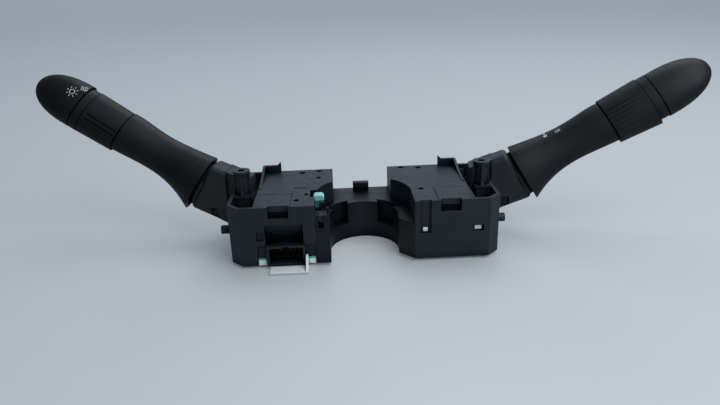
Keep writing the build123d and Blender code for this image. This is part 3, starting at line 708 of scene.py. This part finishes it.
def copies_tree(name):
    """One copy of an object on each point."""
    tree, group_in, identifiers = new_tree(name, COPY_INPUTS)
    info = tree.nodes.new("GeometryNodeObjectInfo")
    place = tree.nodes.new("GeometryNodeInstanceOnPoints")
    tree.links.new(group_in.outputs["Copied piece"], info.inputs["Object"])
    tree.links.new(group_in.outputs["Points"], place.inputs["Points"])
    tree.links.new(info.outputs["Geometry"], place.inputs["Instance"])
    tree.links.new(group_in.outputs["Size"], place.inputs["Scale"])
    end_tree(tree, group_in, place.outputs["Instances"])
    return tree, identifiers


def put_copies(name, copied_mesh, places, finish):
    copied = add_object(name + "_pattern", copied_mesh)
    points = bpy.data.meshes.new(name + "_points")
    points.from_pydata(places, [], [])
    values = {"Copied piece": copied, "Size": 1.0, "Finish": finish}
    piece = run_tree(name, points, *copies_tree(name), values)
    bpy.data.objects.remove(copied)
    return piece


feet = [(middle.x, middle.y, low.z) for middle, _, low in screws]
screw_heads = put_copies("screw_set", screw_mesh(SCREW_SPAN.z), feet, FINISHES["screw_metal"])
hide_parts("housing_screws")
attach(screw_heads, "switch_frame")
print("screw faces:", len(screw_heads.data.polygons))

# %% [markdown]
# ## Plunger springs
# A small compression spring presses each detent plunger on its cam. The solid is a square-section
# coil that can't get shorter. Here a spiral curve with a round wire swept along it, both made by
# Geometry Nodes, stands for it.

# %% A tree for a coil
COIL_INPUTS = {"Turns": "Float", "Coil radius": "Float", "Height": "Float",
               "Wire radius": "Float", "Finish": "Material"}
COIL_STEPS, WIRE_STEPS = 24, 10


def coil_tree():
    """Round wire along a spiral that rises along Z."""
    tree, group_in, identifiers = new_tree("coil", COIL_INPUTS)
    spiral = tree.nodes.new("GeometryNodeCurveSpiral")
    spiral.inputs["Resolution"].default_value = COIL_STEPS
    round_wire = tree.nodes.new("GeometryNodeCurvePrimitiveCircle")
    round_wire.inputs["Resolution"].default_value = WIRE_STEPS
    wire = tree.nodes.new("GeometryNodeCurveToMesh")
    wire.inputs["Fill Caps"].default_value = True
    for source, target in (
        (group_in.outputs["Turns"], spiral.inputs["Rotations"]),
        (group_in.outputs["Coil radius"], spiral.inputs["Start Radius"]),
        (group_in.outputs["Coil radius"], spiral.inputs["End Radius"]),
        (group_in.outputs["Height"], spiral.inputs["Height"]),
        (group_in.outputs["Wire radius"], round_wire.inputs["Radius"]),
        (spiral.outputs["Curve"], wire.inputs["Curve"]),
        (round_wire.outputs["Curve"], wire.inputs["Profile Curve"]),
    ):
        tree.links.new(source, target)
    end_tree(tree, group_in, wire.outputs["Mesh"])
    return tree, identifiers


# %% Both springs
WIRE_R, COIL_TURNS = 0.25 * MM, 3.0


def spring_room(node, axis):
    """Foot, length and outer radius of a solid spring along its axis."""
    corners = [v.co for v in nodes[node].data.vertices]
    reach = [corner.dot(axis) for corner in corners]
    middle = middle_and_span(corners)[0]
    centre_line = middle - axis * middle.dot(axis)
    away = [(corner - centre_line - axis * corner.dot(axis)).length for corner in corners]
    return centre_line + axis * min(reach), max(reach) - min(reach), max(away)


def place_coil(name, node, joint_name):
    """A coil where the solid spring is, on the parent body of its plunger's slide."""
    joint = joint_named(joint_name)
    axis = Vector(joint["axis"]).normalized()
    foot, length, outer_r = spring_room(node, axis)
    values = {"Turns": COIL_TURNS, "Coil radius": outer_r - WIRE_R,
              "Height": length - 2 * WIRE_R, "Wire radius": WIRE_R, "Finish": FINISHES["steel"]}
    coil = run_tree(name, bpy.data.meshes.new(name + "_start"), *coil_tree(), values)
    turned = axis.to_track_quat("Z", "Y").to_matrix().to_4x4()
    coil.data.transform(Matrix.Translation(foot + axis * WIRE_R) @ turned)
    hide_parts(node)
    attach(coil, joint["parent"])
    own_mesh(coil)


place_coil("lighting_coil", "lighting_plunger_spring", "lighting_plunger_slide")
place_coil("wiper_coil", "wiper_plunger_spring", "wiper_plunger_slide")

# %% [markdown]
# ## Printed symbols
# Pad printing lays a film of white ink on the finished plastic, so a symbol follows the curve of
# the knob. Each symbol is a list of strokes in a flat drawing. Every stroke is cut into short
# steps, each step is dropped onto the surface, and the film gets a few hundredths of a millimetre
# of thickness. The generic signs are a lamp, a headlamp, an arrow and HI.

# %% White ink
INK_PATCH_MM, INK_GRAIN_MM, INK_GRAIN_DEPTH_MM = 0.6, 0.25, 0.01


def white_ink():
    material, tree, shader = new_material("white_ink", {"Roughness": 0.5})
    coordinates = own_coordinates(tree)
    patches = noise(tree, coordinates, INK_PATCH_MM, FINE)
    tint = ramp(tree, patches, (0.36, 0.37, 0.34, 1), (0.62, 0.63, 0.60, 1))
    tree.links.new(tint, shader.inputs["Base Color"])
    grain = noise(tree, coordinates, INK_GRAIN_MM)
    tree.links.new(bump(tree, grain, INK_GRAIN_DEPTH_MM), shader.inputs["Normal"])
    return material


INK = white_ink()
print("ink:", INK.name)

# %% Drop a drawing onto a surface
DROP_FROM = 40


class Surface:
    """A node's surface that a drawing is dropped onto along one direction."""

    def __init__(self, node, stalk, along_mm, across_mm, turn_deg):
        root, axis, long_way, front = stalk
        turn = math.radians(turn_deg)
        self.right = axis * math.cos(turn) + long_way * math.sin(turn)
        self.up = -axis * math.sin(turn) + long_way * math.cos(turn)
        self.front = front
        self.middle = root + axis * along_mm * MM + long_way * across_mm * MM
        mesh = nodes[node].data
        corners = [v.co for v in mesh.vertices]
        faces = [tuple(face.vertices) for face in mesh.polygons]
        self.tree = BVHTree.FromPolygons(corners, faces)

    def drop(self, x, y):
        """Place and normal on the surface under a point of the drawing, in millimetres."""
        above = self.front * DROP_FROM * MM
        start = self.middle + (self.right * x + self.up * y) * MM + above
        place, normal, _, _ = self.tree.ray_cast(start, -self.front)
        return place, normal


# %% Strokes on a surface
INK_STEP, INK_ABOVE, INK_BELOW = 0.2 * MM, 0.04 * MM, 0.06 * MM


def walk(points):
    """Points along a polyline, a short step apart."""
    out = [Vector(points[0])]
    for start, end in zip(points, points[1:]):
        start, end = Vector(start), Vector(end)
        steps = max(1, math.ceil((end - start).length * MM / INK_STEP))
        out += [start.lerp(end, (k + 1) / steps) for k in range(steps)]
    return out


def lay_stroke(mesh, surface, points, width):
    """One closed strip of ink along the points."""
    path = walk(points)
    rows = []
    for k, point in enumerate(path):
        ahead = path[min(k + 1, len(path) - 1)] - path[max(k - 1, 0)]
        side = Vector((-ahead.y, ahead.x)).normalized() * width / 2
        row = []
        for x, y in (point + side, point - side):
            place, normal = surface.drop(x, y)
            for height in (INK_ABOVE, -INK_BELOW):
                row.append(mesh.verts.new(place + normal * height))
        rows.append(row)
    for (a, b, c, d), (e, f, g, h) in zip(rows, rows[1:]):
        for face in ((a, c, g, e), (b, f, h, d), (a, e, f, b), (c, d, h, g)):
            mesh.faces.new(face)
    a, b, c, d = rows[0]
    mesh.faces.new((a, b, d, c))
    a, b, c, d = rows[-1]
    mesh.faces.new((a, c, d, b))


def print_symbol(name, surface, strokes, body):
    mesh = bmesh.new()
    for points, width in strokes:
        lay_stroke(mesh, surface, points, width)
    data = mesh_from(mesh, name)
    data.materials.append(INK)
    piece = add_object(name, data)
    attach(piece, body)
    print(name, "faces:", len(data.polygons))


# %% The drawings
# A drawing is a list of strokes, each with its points and its width in millimetres.
ARC_STEPS = 40


def circle(radius, start=0, end=360):
    """Points on an arc around the middle of the drawing, between two angles in degrees."""
    turns = [math.radians(start + (end - start) * k / ARC_STEPS) for k in range(ARC_STEPS + 1)]
    return [(radius * math.cos(turn), radius * math.sin(turn)) for turn in turns]


def lamp_sign():
    """A small round lamp with eight rays."""
    lamp_r, ray_ends, rays = 1.6, (2.7, 3.7), 8
    strokes = [(circle(lamp_r), 0.42)]
    for k in range(rays):
        angle = math.radians(360 / rays * k)
        strokes.append(([(r * math.cos(angle), r * math.sin(angle)) for r in ray_ends], 0.5))
    return strokes


def headlamp_sign():
    """A half-round headlamp with four beams."""
    lens_r = 1.5
    lens = [(0, -lens_r)] + circle(lens_r, -90, 90) + [(0, lens_r), (0, -lens_r)]
    beams = [([(-0.7, y), (-2.6, y - 0.5)], 0.34) for y in (-1.2, -0.4, 0.4, 1.2)]
    return [(lens, 0.4)] + beams


def high_sign():
    """The letters HI above two short dashes."""
    letters = [[(-1.6, -1.1), (-1.6, 1.1)], [(-0.2, -1.1), (-0.2, 1.1)],
               [(-1.6, 0), (-0.2, 0)], [(1.0, -1.1), (1.0, 1.1)]]
    dashes = [[(-1.6, -2.1), (-1.0, -2.1)], [(0, -2.1), (0.6, -2.1)]]
    return [(letter, 0.36) for letter in letters] + [(dash, 0.24) for dash in dashes]


def arrow_sign():
    """A shaft with an open head at its foot."""
    return [([(0, 2.0), (0, -0.6)], 0.7), ([(-1.3, -0.4), (0, -1.9), (1.3, -0.4)], 0.6)]


# %% Print the symbols
# Each symbol: its name, drawing, node and stalk; millimetres along the stalk and across it, and
# how far the drawing is turned in degrees; and the body that it moves with.
SYMBOLS = (
    ("lamp_sign", lamp_sign(), "headlamp_knob", LEFT_STALK, (101.5, 5.2, 0),
     "headlamp_knob_body"),
    ("headlamp_sign", headlamp_sign(), "headlamp_knob", LEFT_STALK, (96.5, 11.3, 150),
     "headlamp_knob_body"),
    ("high_sign", high_sign(), "wiper_handle", RIGHT_STALK, (32.3, 11.4, 180), "wiper_lever"),
    ("arrow_sign", arrow_sign(), "wiper_handle", RIGHT_STALK, (24.4, 13.4, 0), "wiper_lever"),
)
for name, strokes, node, stalk, place, body in SYMBOLS:
    print_symbol(name, Surface(node, stalk, *place), strokes, body)
